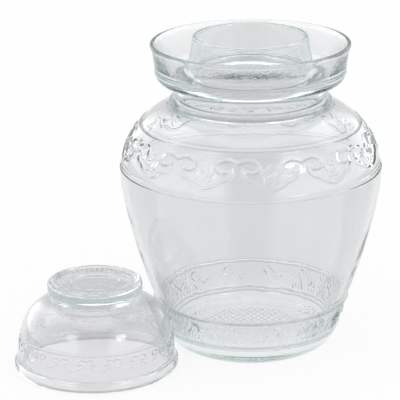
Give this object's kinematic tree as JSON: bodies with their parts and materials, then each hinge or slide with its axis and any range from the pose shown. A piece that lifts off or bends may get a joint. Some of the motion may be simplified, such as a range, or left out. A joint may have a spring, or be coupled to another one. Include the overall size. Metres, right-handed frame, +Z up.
{
  "type": "glass pickle jar",
  "caption": "Clear pressed-glass pickle jar with a water trough round its tapered mouth, and its domed glass lid standing on its rim beside it.",
  "frame": {"origin": "on the jar's axis, at the floor it stands on", "axes": "+Z up along the jar's axis; -Z out of its foot; the lid stands on the floor towards -X and -Y; the longest side of the whole lies along X"},
  "size_m": [0.2464, 0.1939, 0.2138],
  "materials": {
    "jar_glass": "clear pressed glass, faint grey-green in its thick edges, gloss",
    "lid_glass": "clear pressed glass, grey-green in its solid foot, gloss"
  },
  "bodies": {
    "root": {"jar": "jar_glass", "lid": "lid_glass"}
  },
  "joints": []
}
